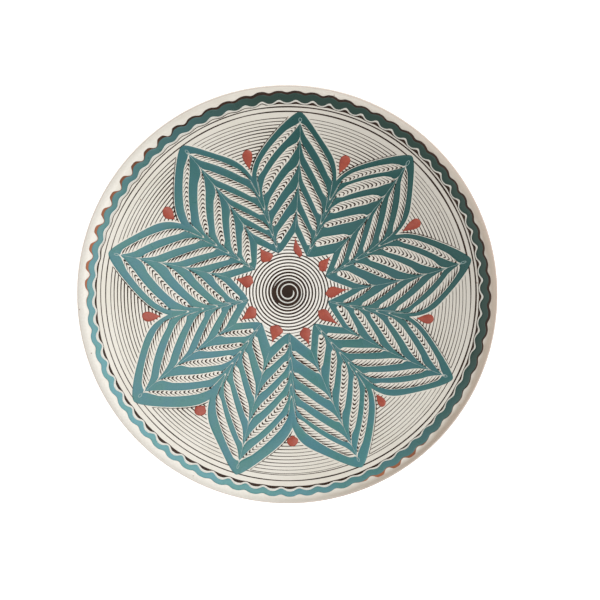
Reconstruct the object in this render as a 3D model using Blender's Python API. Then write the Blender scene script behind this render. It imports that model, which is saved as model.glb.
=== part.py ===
"""A hand painted, slip-trailed ceramic plate.

A thrown dish of red clay with a turned foot ring.  Its face and lip are coated with
cream slip, and the coloured slips lie on that coat: a dark pool and a trailed brown
spiral at the centre, six nested nine-pointed bands of teal drawn out into petals, red
drops at the feet of the petals and between their points, and a wavy border.

Metres, +Z up, origin at the centre of the plane that the foot ring rests on.
Bearings are degrees clockwise from +Y, seen from above.
"""

import math

import bmesh
import bpy

MM = 0.001

# The thrown dish
PLATE_RADIUS = 140.0 * MM
DISH_DEPTH = 33.0 * MM
DISH_POWER = 2.1
WALL = 6.0 * MM
FOOT_RECESS = 4.5 * MM
LIP_RADIUS = 3.3 * MM
FOOT_INNER = 56.0 * MM
FOOT_OUTER = 66.0 * MM
FOOT_TAPER = 2.0 * MM
FOOT_EDGE = 0.8 * MM

# The slips
GAP = 0.3 * MM
COAT = 0.5 * MM
TRAIL = 0.5 * MM
COAT_END_ANGLE = -20.0

# The painter's centre sits a little off the axis of the dish
PAINT_CENTRE = (0.0, -1.9 * MM)

# The star: bearings of the petals' points and feet, and of the valleys between them
TIP_BEARINGS = (4.0, 41.5, 78.5, 116.5, 156.5, 196.0, 235.5, 283.5, 325.0)
FOOT_BEARINGS = (6.5, 49.0, 86.5, 122.5, 158.5, 198.0, 239.5, 284.5, 327.5)
VALLEY_TOP_BEARINGS = (23.0, 61.0, 100.5, 138.5, 178.0, 216.5, 260.0, 303.5, 343.0)
VALLEY_FOOT_BEARINGS = (27.0, 65.5, 102.0, 139.5, 178.0, 220.0, 258.5, 304.0, 346.0)
VALLEY_TOP_RADII = tuple(r * MM for r in (83.5, 83.0, 83.5, 85.5, 91.0, 89.5, 82.5, 86.5, 83.0))
TIP_RADIUS = 124.5 * MM
SPINE_FOOT_RADIUS = 40.5 * MM
VALLEY_FOOT_RADIUS = 27.5 * MM
MEAN_VALLEY_TOP = 86.0 * MM

# Each teal band's two edges: radius on a petal's spine, radius in the valley, and how
# much the edge sags below (or, negative, bulges above) the straight run between them
BAND_EDGES = (
    ((124.5, 86.0, -0.02), (117.5, 77.0, -0.12)),
    ((115.0, 74.5, 0.03), (103.5, 65.5, -0.09)),
    ((101.0, 63.0, 0.05), (88.5, 55.0, -0.10)),
    ((86.0, 52.5, 0.08), (74.0, 45.0, -0.05)),
    ((71.5, 43.0, 0.15), (57.5, 35.5, 0.04)),
    ((55.0, 33.5, 0.24), (40.5, 27.5, 0.16)),
)
STATIONS = (0.0, 0.15, 0.45, 0.8)

# Red drops
OUTER_HEAD_RADIUS = 98.0 * MM
OUTER_DROP_SIZE = 4.0 * MM
OUTER_TAIL_GAP = 4.5 * MM
INNER_HEAD_BEARINGS = (12.5, 51.5, 90.0, 122.0, 158.0, 198.0, 241.5, 285.5, 327.0)
INNER_HEAD_RADIUS = 28.2 * MM
INNER_DROP_SIZE = 2.7 * MM
INNER_TAIL_GAP = 3.5 * MM
DROP_CROWN = 0.3 * MM

# Centre
POOL_RADIUS = 9.6 * MM
CURL_START = 3.0 * MM
CURL_PITCH = 3.0 * MM
CURL_TURNS = 1.9
CURL_WIDTH = 0.8 * MM
SPIRAL_START = 11.4 * MM
SPIRAL_PITCH = 2.2 * MM
SPIRAL_TURNS = 5.5
SPIRAL_WIDTH = 1.1 * MM
TRAIL_STEPS_PER_TURN = 18

# Border, from the lip inwards
BORDER_OUTER = 135.2 * MM
EDGE_LINE_WIDTH = 0.9 * MM
WAVES = 69
WAVE_HEIGHT = 1.1 * MM
WAVE_RADIUS = 130.6 * MM
WAVE_LINE_WIDTH = 0.7 * MM
SCALLOP_BASE = 127.5 * MM
RING_LINES = ((126.9 * MM, 0.5 * MM), (125.8 * MM, 0.6 * MM))
BAND_GAP = 0.3 * MM

LATHE_STEPS = 48
FACE_STEPS = 10
UNDER_STEPS = 5
RECESS_STEPS = 2
LIP_STEPS = 5
ROUND_STEPS = 48
WAVE_STEPS = 2 * WAVES

FACE_CENTRE = FOOT_RECESS + WALL
COAT_TOP = GAP + COAT
CLAY_RADIUS = PLATE_RADIUS - COAT_TOP

COLOURS = {
    "red_clay": ((0.46, 0.19, 0.10), 0.75),
    "cream_slip": ((0.78, 0.72, 0.62), 0.25),
    "brown_slip": ((0.05, 0.03, 0.02), 0.25),
    "teal_slip": ((0.02, 0.16, 0.17), 0.25),
    "red_slip": ((0.50, 0.07, 0.04), 0.25),
}


# ---- The surface of the dish ------------------------------------------------------

def face_height(radius):
    return FACE_CENTRE + DISH_DEPTH * (radius / PLATE_RADIUS) ** DISH_POWER


def face_slope(radius):
    return DISH_DEPTH / PLATE_RADIUS * DISH_POWER * (radius / PLATE_RADIUS) ** (DISH_POWER - 1.0)


def lip():
    """Where the face meets the lip's round edge, the round's centre and its tilt."""
    tilt = math.atan(face_slope(CLAY_RADIUS - LIP_RADIUS))
    start = CLAY_RADIUS - LIP_RADIUS * (1.0 + math.sin(tilt))
    centre = (CLAY_RADIUS - LIP_RADIUS, face_height(start) - LIP_RADIUS * math.cos(tilt))
    return start, centre, tilt


LIP_START, LIP_CENTRE, LIP_TILT = lip()


def surface_height(radius, above):
    """Height of the surface that lies this far above the clay, at this radius."""
    if radius < LIP_START:
        return face_height(radius) + above * math.hypot(1.0, face_slope(radius))
    reach = LIP_RADIUS + above
    return LIP_CENTRE[1] + math.sqrt(reach**2 - (radius - LIP_CENTRE[0]) ** 2)


def face_profile(above):
    """The face from the axis to the lip, moved along its normal."""
    points = []
    for step in range(FACE_STEPS):
        radius = LIP_START * step / FACE_STEPS
        tilt = math.atan(face_slope(radius))
        points.append((max(radius - above * math.sin(tilt), 0.0), face_height(radius) + above * math.cos(tilt)))
    return points


def lip_profile(above, end_angle):
    """The round edge, from the face over the top and down to the end angle."""
    start_angle = math.pi / 2 + LIP_TILT
    reach = LIP_RADIUS + above
    points = []
    for step in range(LIP_STEPS + 1):
        angle = start_angle + (end_angle - start_angle) * step / LIP_STEPS
        points.append((LIP_CENTRE[0] + reach * math.cos(angle), LIP_CENTRE[1] + reach * math.sin(angle)))
    return points


def under_height(radius):
    return face_height(radius) - WALL * math.hypot(1.0, face_slope(radius))


# ---- Points on the painted face ---------------------------------------------------

def place(radius, bearing):
    """A point at this radius and bearing from the painter's centre."""
    angle = math.radians(bearing)
    return PAINT_CENTRE[0] + radius * math.sin(angle), PAINT_CENTRE[1] + radius * math.cos(angle)


def place_on_body(radius, bearing):
    """The same, measured from the axis of the dish."""
    angle = math.radians(bearing)
    return radius * math.sin(angle), radius * math.cos(angle)


def mix(first, second, share):
    return first + (second - first) * share


def spine_bearing(petal, radius):
    share = (TIP_RADIUS - radius) / (TIP_RADIUS - SPINE_FOOT_RADIUS)
    return mix(TIP_BEARINGS[petal], FOOT_BEARINGS[petal], share)


def valley_bearing(valley, radius):
    top = VALLEY_TOP_RADII[valley]
    share = (top - radius) / (top - VALLEY_FOOT_RADIUS)
    return mix(VALLEY_TOP_BEARINGS[valley], VALLEY_FOOT_BEARINGS[valley], share)


def valley_radius(valley, mean_radius):
    """The valleys differ in length: their radii stretch between foot and top."""
    share = (mean_radius - VALLEY_FOOT_RADIUS) / (MEAN_VALLEY_TOP - VALLEY_FOOT_RADIUS)
    return mix(VALLEY_FOOT_RADIUS, VALLEY_TOP_RADII[valley], share)


def flank(petal, valley, edge, turn):
    """One edge's points from a petal's spine towards a valley; turn brings the valley round."""
    on_spine, in_valley, sag = edge
    in_valley = valley_radius(valley, in_valley * MM)
    points = []
    for share in STATIONS:
        bow = 4.0 * sag * share * (1.0 - share)
        radius = mix(on_spine * MM, in_valley, min(share + bow, 1.0))
        bearing = mix(spine_bearing(petal, radius), valley_bearing(valley, radius) + turn, share)
        points.append(place(radius, bearing))
    return points


def star_edge(edge):
    """A whole closed edge, clockwise: down each petal's far flank and up the next one's near flank."""
    count = len(TIP_BEARINGS)
    points = []
    for petal in range(count):
        following = (petal + 1) % count
        wrap = 360.0 if following == 0 else 0.0
        points += flank(petal, petal, edge, 0.0)
        valley_point = valley_radius(petal, edge[1] * MM)
        points.append(place(valley_point, valley_bearing(petal, valley_point)))
        rising = flank(following, petal, edge, -wrap)
        points += rising[:0:-1]
    return points


# ---- Solids -----------------------------------------------------------------------

def material(slot):
    found = bpy.data.materials.get(slot)
    if found:
        return found
    colour, roughness = COLOURS[slot]
    made = bpy.data.materials.new(slot)
    made.use_nodes = True
    shader = made.node_tree.nodes["Principled BSDF"]
    shader.inputs["Base Color"].default_value = (*colour, 1.0)
    shader.inputs["Roughness"].default_value = roughness
    shader.inputs["Metallic"].default_value = 0.0
    return made


def finish_object(name, mesh_data, slot):
    bmesh.ops.recalc_face_normals(mesh_data, faces=mesh_data.faces)
    mesh = bpy.data.meshes.new(name)
    mesh_data.to_mesh(mesh)
    mesh_data.free()
    mesh.shade_smooth()
    mesh.set_sharp_from_angle(angle=math.radians(35))
    mesh.materials.append(material(slot))
    made = bpy.data.objects.new(name, mesh)
    bpy.context.scene.collection.objects.link(made)
    return made


def lathe(name, profile, slot):
    """Spin a profile of (radius, height) points that starts and ends on the axis."""
    data = bmesh.new()
    verts = [data.verts.new((0.0, radius, height)) for radius, height in profile]
    edges = [data.edges.new(pair) for pair in zip(verts, verts[1:])]
    bmesh.ops.spin(data, geom=verts + edges, angle=math.tau, steps=LATHE_STEPS,
                   axis=(0.0, 0.0, 1.0), cent=(0.0, 0.0, 0.0))
    bmesh.ops.remove_doubles(data, verts=data.verts, dist=0.001 * MM)
    return finish_object(name, data, slot)


def draped(data, points, above):
    """Vertices over these points, this far above the clay."""
    return [data.verts.new((x, y, surface_height(math.hypot(x, y), above))) for x, y in points]


def strip(name, outer, inner, slot, closed=True, above=COAT_TOP + GAP):
    """A flat trail of slip between two edges that have the same number of points."""
    data = bmesh.new()
    rows = (
        draped(data, outer, above),
        draped(data, outer, above + TRAIL),
        draped(data, inner, above + TRAIL),
        draped(data, inner, above),
    )
    count = len(outer)
    for here in range(count if closed else count - 1):
        there = (here + 1) % count
        for row, other in zip(rows, rows[1:] + rows[:1]):
            data.faces.new((row[here], row[there], other[there], other[here]))
    if not closed:
        for end in (0, count - 1):
            data.faces.new([row[end] for row in rows])
    return finish_object(name, data, slot)


def patch(name, outline, centre, slot, crown, above=COAT_TOP + GAP):
    """A blob of slip inside an outline, highest at its centre."""
    data = bmesh.new()
    low = draped(data, outline, above)
    high = draped(data, outline, above + TRAIL)
    low_centre = draped(data, [centre], above)[0]
    high_centre = draped(data, [centre], above + TRAIL + crown)[0]
    for here in range(len(outline)):
        there = (here + 1) % len(outline)
        data.faces.new((low[here], low[there], high[there], high[here]))
        data.faces.new((high[here], high[there], high_centre))
        data.faces.new((low[there], low[here], low_centre))
    return finish_object(name, data, slot)


# ---- The clay and its coat --------------------------------------------------------

def clay_body():
    profile = face_profile(0.0)
    profile += lip_profile(0.0, LIP_TILT - math.pi / 2)
    foot_top = FOOT_OUTER + FOOT_TAPER
    for step in range(1, UNDER_STEPS + 1):
        radius = mix(LIP_START, foot_top, step / UNDER_STEPS)
        profile.append((radius, under_height(radius)))
    recess = FOOT_INNER - FOOT_TAPER
    profile += [
        (FOOT_OUTER, FOOT_EDGE),
        (FOOT_OUTER - FOOT_EDGE, 0.0),
        (FOOT_INNER + FOOT_EDGE, 0.0),
        (FOOT_INNER, FOOT_EDGE),
    ]
    for step in range(RECESS_STEPS + 1):
        radius = recess * (1.0 - step / RECESS_STEPS)
        profile.append((radius, under_height(radius)))
    return lathe("clay_body", profile, "red_clay")


def cream_coat():
    end_angle = math.radians(COAT_END_ANGLE)
    top = face_profile(COAT_TOP) + lip_profile(COAT_TOP, end_angle)
    bottom = face_profile(GAP) + lip_profile(GAP, end_angle)
    return lathe("cream_slip", top + bottom[::-1], "cream_slip")


# ---- The star ---------------------------------------------------------------------

def star_bands():
    for number, (outer, inner) in enumerate(BAND_EDGES, start=1):
        strip(f"star_band_{number}", star_edge(outer), star_edge(inner), "teal_slip")


def teardrop(head, tip, size):
    """A round head that runs out to a point at the tip."""
    along = math.atan2(tip[1] - head[1], tip[0] - head[0])
    reach = math.hypot(tip[0] - head[0], tip[1] - head[1])
    outline = [tip]
    for side, share in ((1, 0.5), (1, 0.2)):
        outline.append((reach * share, side * size * (0.85 - share)))
    for step in range(8):
        angle = math.pi / 2 + math.pi * (step + 0.5) / 8
        outline.append((size * math.cos(angle), size * math.sin(angle)))
    for share in (0.2, 0.5):
        outline.append((reach * share, -size * (0.85 - share)))
    turned = [tip]
    for forward, sideways in outline[1:]:
        turned.append((
            head[0] + forward * math.cos(along) - sideways * math.sin(along),
            head[1] + forward * math.sin(along) + sideways * math.cos(along),
        ))
    return turned


def red_drops():
    for index in range(len(TIP_BEARINGS)):
        bearing = VALLEY_TOP_BEARINGS[index]
        head = place(OUTER_HEAD_RADIUS, bearing)
        tip = place(VALLEY_TOP_RADII[index] + OUTER_TAIL_GAP, bearing)
        patch(f"outer_drop_{index + 1}", teardrop(head, tip, OUTER_DROP_SIZE), head, "red_slip", DROP_CROWN)
        head = place(INNER_HEAD_RADIUS, INNER_HEAD_BEARINGS[index])
        tip = place(SPINE_FOOT_RADIUS - INNER_TAIL_GAP, FOOT_BEARINGS[index])
        patch(f"inner_drop_{index + 1}", teardrop(head, tip, INNER_DROP_SIZE), head, "red_slip", DROP_CROWN)


# ---- The centre -------------------------------------------------------------------

def trail_edges(start_radius, pitch, turns, width, start_bearing):
    steps = round(turns * TRAIL_STEPS_PER_TURN)
    outer, inner = [], []
    for step in range(steps + 1):
        turned = turns * step / steps
        radius = start_radius + pitch * turned
        bearing = start_bearing + 360.0 * turned
        outer.append(place(radius + width / 2, bearing))
        inner.append(place(radius - width / 2, bearing))
    return outer, inner


def centre():
    rim = [place(POOL_RADIUS, 360.0 * step / TRAIL_STEPS_PER_TURN) for step in range(TRAIL_STEPS_PER_TURN)]
    patch("centre_pool", rim, PAINT_CENTRE, "brown_slip", 0.0)
    outer, inner = trail_edges(CURL_START, CURL_PITCH, CURL_TURNS, CURL_WIDTH, 90.0)
    strip("centre_curl", outer, inner, "cream_slip", closed=False, above=COAT_TOP + 2 * GAP + TRAIL)
    outer, inner = trail_edges(SPIRAL_START, SPIRAL_PITCH, SPIRAL_TURNS, SPIRAL_WIDTH, 0.0)
    strip("brown_spiral", outer, inner, "brown_slip", closed=False)


# ---- The border -------------------------------------------------------------------

def round_edge(radius, put=place, steps=ROUND_STEPS):
    return [put(radius, 360.0 * step / steps) for step in range(steps)]


def wave_edge(radius):
    points = []
    for step in range(WAVE_STEPS):
        swing = WAVE_HEIGHT if step % 2 == 0 else -WAVE_HEIGHT
        points.append(place(radius + swing, 360.0 * step / WAVE_STEPS))
    return points


def border():
    edge_inner = BORDER_OUTER - EDGE_LINE_WIDTH
    outer = round_edge(BORDER_OUTER, place_on_body)
    inner = round_edge(edge_inner, place_on_body)
    strip("border_edge_line", outer, inner, "brown_slip")
    outer = round_edge(edge_inner - BAND_GAP, place_on_body, WAVE_STEPS)
    strip("border_teal_wave", outer, wave_edge(WAVE_RADIUS), "teal_slip")
    line_outer = WAVE_RADIUS - BAND_GAP
    line_inner = line_outer - WAVE_LINE_WIDTH
    strip("border_cream_wave", wave_edge(line_outer), wave_edge(line_inner), "cream_slip")
    inner = round_edge(SCALLOP_BASE, place, WAVE_STEPS)
    strip("border_scallops", wave_edge(line_inner - BAND_GAP), inner, "brown_slip")
    for number, (radius, width) in enumerate(RING_LINES, start=1):
        strip(f"ring_line_{number}", round_edge(radius), round_edge(radius - width), "brown_slip")


def clear_scene():
    for existing in list(bpy.data.objects):
        bpy.data.objects.remove(existing, do_unlink=True)


clear_scene()
clay_body()
cream_coat()
star_bands()
red_drops()
centre()
border()
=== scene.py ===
"""The looks of a hand painted, slip-trailed plate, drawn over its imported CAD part.

Lengths are millimetres of the plate (MM metres each, worked out from the frame) until a
piece is made.  Painted marks are placed in the painter's polar coordinates: a radius from
the painter's centre, and a bearing in degrees clockwise from +Y.  Every mark lies on the
dish: its height is the dish's own height there plus how far it stands above the clay.
"""

import math

import bpy
import numpy as np
from mathutils import Matrix, Vector

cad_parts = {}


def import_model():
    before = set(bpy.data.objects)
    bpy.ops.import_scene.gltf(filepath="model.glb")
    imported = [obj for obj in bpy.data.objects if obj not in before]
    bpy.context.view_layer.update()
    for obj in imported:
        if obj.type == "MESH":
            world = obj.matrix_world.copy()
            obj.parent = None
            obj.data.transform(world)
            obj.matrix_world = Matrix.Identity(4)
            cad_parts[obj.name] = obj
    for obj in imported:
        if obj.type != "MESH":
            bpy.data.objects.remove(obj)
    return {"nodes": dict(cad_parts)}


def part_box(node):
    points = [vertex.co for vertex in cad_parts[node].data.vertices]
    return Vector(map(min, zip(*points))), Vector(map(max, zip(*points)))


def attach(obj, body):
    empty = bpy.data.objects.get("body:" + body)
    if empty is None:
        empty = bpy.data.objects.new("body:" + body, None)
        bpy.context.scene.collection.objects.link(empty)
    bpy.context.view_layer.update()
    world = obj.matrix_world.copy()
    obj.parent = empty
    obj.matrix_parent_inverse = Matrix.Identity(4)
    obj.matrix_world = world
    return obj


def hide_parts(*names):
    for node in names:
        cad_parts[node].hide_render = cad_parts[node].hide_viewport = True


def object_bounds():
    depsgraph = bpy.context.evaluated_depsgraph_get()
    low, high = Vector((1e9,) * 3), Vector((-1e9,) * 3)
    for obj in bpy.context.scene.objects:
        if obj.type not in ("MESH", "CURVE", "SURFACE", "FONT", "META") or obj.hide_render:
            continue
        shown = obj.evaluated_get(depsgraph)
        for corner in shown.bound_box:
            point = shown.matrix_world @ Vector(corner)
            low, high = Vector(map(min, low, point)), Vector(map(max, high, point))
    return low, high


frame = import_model()
CAD_LOW, CAD_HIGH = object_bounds()

# ---- The dish, as the frame has it --------------------------------------------------

# The face rises from its centre by DISH_DEPTH, as a power of the distance from the axis
PLATE_RADIUS = 140.0
MM = (CAD_HIGH.x - CAD_LOW.x) / 2 / PLATE_RADIUS
DISH_DEPTH = 33.0
DISH_POWER = 2.1
WALL = 6.0
FOOT_RECESS = 4.5
LIP_RADIUS = 3.3
FOOT_INNER = 56.0
FOOT_OUTER = 66.0
FOOT_TAPER = 2.0
FOOT_EDGE = 0.8
COAT_TOP = 0.8
COAT_END_ANGLE = -24.0
FACE_CENTRE = FOOT_RECESS + WALL
CLAY_RADIUS = PLATE_RADIUS - COAT_TOP

# The lip was thrown by hand: its circle is a little wider than the wall's, and off its centre
LIP_WIDER = 0.95
LIP_OFFSET = 1.4
LIP_SIDE = 190.0
LIP_SHIFT_START = 130.5
LIP_SHIFT_SPAN = 6.5
LATHE_ROUNDS = 12

# ---- The painting -------------------------------------------------------------------

PETALS = 9
CORNER_SPACING = 18.0
TIP_RADII = (123.8, 125.6, 125.5, 124.2, 125.9, 125.7, 125.6, 123.4, 122.9)
TIP_ROUNDING = 0.06
SPINE_FOOT_RADIUS = 40.5
VALLEY_TOP_GAP = 4.5
VALLEY_FOOT_RADIUS = 27.5
BAND_RISE = 0.22
BAND_HAIRLINE = 0.3
TEAL_TOP = COAT_TOP + BAND_RISE
TRAIL_RISE = 0.06

# Five cream lenses part the six teal bands.  A lens runs down a flank from its radius at the
# spine to its radius at the valley; the last two values are its width and how much it sags
# below the straight run.  Each flank was drawn a little higher or lower than the rest.
LEFT, RIGHT = -1, 1
LENS_TABLES = {
    LEFT: (
        (115.8, 79.0, 5.4, 0.00),
        (103.0, 67.5, 7.6, 0.02),
        (87.5, 56.5, 7.0, 0.06),
        (72.0, 46.5, 6.0, 0.11),
        (54.3, 35.8, 7.0, 0.14),
    ),
    RIGHT: (
        (115.8, 80.5, 6.4, 0.01),
        (103.0, 71.0, 6.7, 0.08),
        (87.5, 60.0, 6.8, 0.11),
        (72.0, 49.0, 6.0, 0.13),
        (54.3, 37.3, 6.1, 0.11),
    ),
}
LENS_SHIFTS = {
    LEFT: (-0.8, 3.7, 1.2, -0.4, 2.0, -0.4, -0.6, -3.5, -3.2),
    RIGHT: (-2.4, -1.7, 1.5, 2.7, 4.7, 0.6, -1.9, -2.9, -3.7),
}
SHIFT_SHARES = (0.35, 0.9, 1.1, 1.1, 0.6)
LENSES = len(SHIFT_SHARES)
HEART_RADII = (41.0, 40.5, 43.5, 43.5, 41.5, 38.5, 40.5, 40.0, 38.7)
HEART_SAGS = {LEFT: 0.23, RIGHT: 0.135}
OUTLINE_BULGES = {LEFT: 0.6, RIGHT: 1.35}
# A lens's head by the spine: where it starts, how fast it swells, how blunt it is; and its tail
LENS_HEADS = {LEFT: (0.01, 0.2, 0.7), RIGHT: (0.025, 0.09, 0.5)}
LENS_TAIL = (0.965, 0.22, 0.9)
# The needle pulled each lens outwards on the spine, and all of them inwards in the valley
SPINE_PULLS = (1.6, 5.0, 6.0, 6.0, 5.0)
PULL_REACH = 0.035
TRUNK_START = 0.88
TRUNK_PULL = 0.16
TRUNK_FOOT = 15.0
FLANK_STEPS = 60

# One thin line runs out from the centre as a spiral, under everything else.  It shows as
# stripes in the lenses, as lines over the open field, and as turns in the star's heart.
LINE_START = 11.4
LINE_PITCH = 2.2
LINE_RISE = 0.16
# A stripe's path across its lens, from the spine's side: share across, rise or fall
STRIPE_PATHS = {
    LEFT: ((0.10, 0.26, 0.36, 0.55, 0.74, 0.92), (-1.5, -0.1, 0.45, 0.2, -0.35, -1.0)),
    RIGHT: ((0.08, 0.26, 0.45, 0.66, 0.82, 0.93), (0.5, 0.45, 0.2, 0.0, -0.5, -1.6)),
}
STRIPE_APEXES = {LEFT: 0.33, RIGHT: 0.8}
STRIPE_POINTS = 9
THINNEST_STRIPED = 1.4
# Line widths, at some radii, of the stripes and of the field's lines
STRIPE_WIDTHS = ((34.0, 60.0, 90.0, 115.0), (1.05, 1.0, 0.9, 0.8))
FIELD_WIDTHS = ((86.0, 94.0, 108.0, 118.0), (1.0, 0.9, 0.75, 0.55))
FIELD_HEAVIER_SIDE = 310.0
FIELD_MARGIN = 0.9
HOOK_DEPTH = 2.9
HEART_LINE_WIDTH = 0.95
HEART_LINE_GAP = 0.25

POOL_RADIUS = 10.3
CURL_START = 3.4
CURL_PITCH = 2.7
CURL_TURNS = 2.45
CENTRE_SPIRAL_START = -0.75
CENTRE_SPIRAL_END = 28.2

# Every drop fell its own way.  Outer drops: radius of the round end, how far that end leans
# clockwise, and half the width.  Inner drops: the same, but the round end is the inner one.
OUTER_DROPS = (
    (101.8, 0.2, 3.5), (102.0, -0.7, 3.3), (99.6, -1.8, 3.3),
    (99.5, 1.0, 2.8), (102.8, 0.4, 3.9), (102.1, 1.3, 4.0),
    (99.3, 2.1, 3.5), (101.5, 2.4, 3.9), (101.2, 2.0, 3.5),
)
INNER_DROPS = (
    (25.0, 5.0, 3.0), (25.9, 2.5, 3.7), (25.0, 2.2, 3.9),
    (23.6, -0.4, 3.9), (25.9, -1.0, 4.0), (23.2, -0.3, 4.7),
    (24.4, 1.4, 4.3), (24.6, 0.6, 4.5), (24.6, 0.8, 4.6),
)
DROP_RISE = 0.75

# The border wanders: at some bearings, radii of its teal band's outer and inner edges and of
# the scallops' base
BORDER = (
    (0.0, 135.9, 130.3, 128.7),
    (45.0, 135.1, 130.4, 128.7),
    (70.0, 134.3, 130.1, 128.4),
    (90.0, 134.5, 129.7, 128.1),
    (115.0, 133.9, 129.2, 127.9),
    (135.0, 134.2, 129.0, 127.9),
    (155.0, 134.1, 129.8, 128.1),
    (180.0, 134.7, 130.8, 128.5),
    (200.0, 134.5, 130.4, 128.1),
    (225.0, 134.2, 130.4, 128.1),
    (250.0, 133.9, 130.1, 128.0),
    (275.0, 133.8, 130.1, 127.9),
    (310.0, 133.3, 128.6, 126.7),
    (340.0, 134.3, 129.1, 127.5),
)
BORDER_BEARINGS, BORDER_OUTER, BORDER_INNER, SCALLOP_BASE = zip(*BORDER)
WAVES = 70
WAVE_STEPS = 16
OUTER_WAVE = 0.65
INNER_WAVE = 1.25
CREAM_WAVE_WIDTH = 0.85
DARK_EDGE_WIDTH = 1.4
RUST_ARC_WIDTH = 1.8
SCALLOP_DEPTH = 2.6
ECHO_LINE_WIDTH = 0.55
ECHO_WAVE = 0.42
# Two rings inside it: mean radius, how much it swings out, and toward which bearing
RING_LINE_1 = (125.75, 1.25, 28.0)
RING_LINE_2 = (122.4, 1.3, 20.0)

# Sections of a strip of slip: share across it, share of its rise
BAND_SECTION = ((0.0, 0.0), (0.05, 0.6), (0.22, 0.97), (0.78, 0.97), (0.95, 0.6), (1.0, 0.0))
LINE_SECTION = ((0.0, 0.0), (0.25, 0.9), (0.75, 0.9), (1.0, 0.0))
DROP_SECTION = (
    (0.0, 0.0), (0.05, 0.42), (0.17, 0.74), (0.37, 0.97),
    (0.63, 0.97), (0.83, 0.74), (0.95, 0.42), (1.0, 0.0),
)
EDGE_SECTION = (
    (0.0, 0.0), (0.08, 0.8), (0.25, 1.0), (0.42, 1.0),
    (0.58, 1.0), (0.75, 1.0), (0.92, 0.8), (1.0, 0.0),
)
SINK = 0.08


# ---- Places on the dish -------------------------------------------------------------

def face_height(radius):
    """Height of the bare clay face at this radius."""
    return FACE_CENTRE + DISH_DEPTH * (radius / PLATE_RADIUS) ** DISH_POWER


def face_slope(radius):
    return DISH_DEPTH / PLATE_RADIUS * DISH_POWER * (radius / PLATE_RADIUS) ** (DISH_POWER - 1.0)


LIP_TILT = math.atan(face_slope(CLAY_RADIUS - LIP_RADIUS))
LIP_START = CLAY_RADIUS - LIP_RADIUS * (1.0 + math.sin(LIP_TILT))
LIP_CENTRE = (CLAY_RADIUS - LIP_RADIUS, face_height(LIP_START) - LIP_RADIUS * math.cos(LIP_TILT))


def lip_shift(radius, angle):
    """How far outwards the hand-thrown lip stands from its circle; the angle is in radians."""
    reach = LIP_WIDER + LIP_OFFSET * np.cos(angle - math.radians(LIP_SIDE))
    return reach * smooth((radius - LIP_SHIFT_START) / LIP_SHIFT_SPAN)


def lathe_radius(points):
    """Radius on the lathe's profile of the face under these (x, y) points."""
    reached, angle = np.hypot(*points.T), np.arctan2(*points.T)
    radius = reached
    for _ in range(LATHE_ROUNDS):
        radius = reached - lip_shift(radius, angle)
    return radius


def surface_height(radius, above):
    """Height of the surface this far above the clay, at this radius of the lathe's profile."""
    face = face_height(radius) + above * np.hypot(1.0, face_slope(radius))
    reach = LIP_RADIUS + above
    rounded = np.maximum(reach**2 - (radius - LIP_CENTRE[0]) ** 2, 0.0)
    return np.where(radius < LIP_START, face, LIP_CENTRE[1] + np.sqrt(rounded))


def node_points(name):
    """Points of a CAD node's mesh, in millimetres."""
    mesh = frame["nodes"][name].data
    flat = np.empty(len(mesh.vertices) * 3, np.float32)
    mesh.vertices.foreach_get("co", flat)
    return flat.reshape(-1, 3) / MM


def box_centre(name):
    """Middle of a CAD node's box seen from above, in millimetres."""
    low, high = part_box(name)
    return np.array((low + high)[:2]) / 2 / MM


PAINT_CENTRE = box_centre("ring_line_2")


def polar(points):
    """Radii and bearings of points from the painter's centre."""
    east, north = (points[:, :2] - PAINT_CENTRE).T
    return np.hypot(east, north), np.degrees(np.arctan2(east, north)) % 360.0


def place(radius, bearing):
    """(x, y) points at these radii and bearings from the painter's centre."""
    angle = np.radians(bearing)
    return PAINT_CENTRE + np.stack((radius * np.sin(angle), radius * np.cos(angle)), axis=-1)


def corner_bearings(name, sign):
    """Bearings of a CAD star band's nine corners: its furthest points (sign 1) or nearest (-1)."""
    radius, bearing = polar(node_points(name))
    reach = sign * radius
    found = []
    while len(found) < PETALS:
        corner = int(np.argmax(reach))
        found.append(bearing[corner])
        away = np.abs((bearing - bearing[corner] + 180.0) % 360.0 - 180.0)
        reach[away < CORNER_SPACING] = -np.inf
    return np.sort(found)


def drop_corner(name, pick):
    """Radius and bearing of the corner of a CAD drop that pick() chooses by radius."""
    radius, bearing = polar(node_points(name))
    corner = pick(radius)
    return radius[corner], bearing[corner]


TIP_BEARINGS = corner_bearings("star_band_1", 1)
VALLEY_FOOT_BEARINGS = corner_bearings("star_band_6", -1)
OUTER_TAILS = [drop_corner(f"outer_drop_{n + 1}", np.argmin) for n in range(PETALS)]
INNER_TAILS = [drop_corner(f"inner_drop_{n + 1}", np.argmax) for n in range(PETALS)]


def mix(first, second, share):
    return first + (second - first) * share


def smooth(value):
    """Eases a share in and out between 0 and 1, and holds it there beyond them."""
    value = np.clip(value, 0.0, 1.0)
    return value * value * (3.0 - 2.0 * value)


def wobble(bearing, seed, counts=(2, 3, 5)):
    """A smooth random wave round the plate that closes on itself, between -1 and 1."""
    draw = np.random.default_rng(seed)
    total = 0.0
    for count in counts:
        total = total + np.cos(np.radians(bearing * count) + draw.uniform(0.0, math.tau))
    return total / len(counts)


def spine_bearing(petal, radius):
    """Bearing of a petal's spine, which leans from its tip toward the drop at its foot."""
    share = (TIP_RADII[petal] - radius) / (TIP_RADII[petal] - SPINE_FOOT_RADIUS)
    return mix(TIP_BEARINGS[petal], INNER_TAILS[petal][1], np.clip(share, 0.0, 1.2))


def valley_top(valley):
    """Radius of the star's outer edge in a valley, just inside the drop there."""
    return OUTER_TAILS[valley][0] - VALLEY_TOP_GAP


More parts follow.
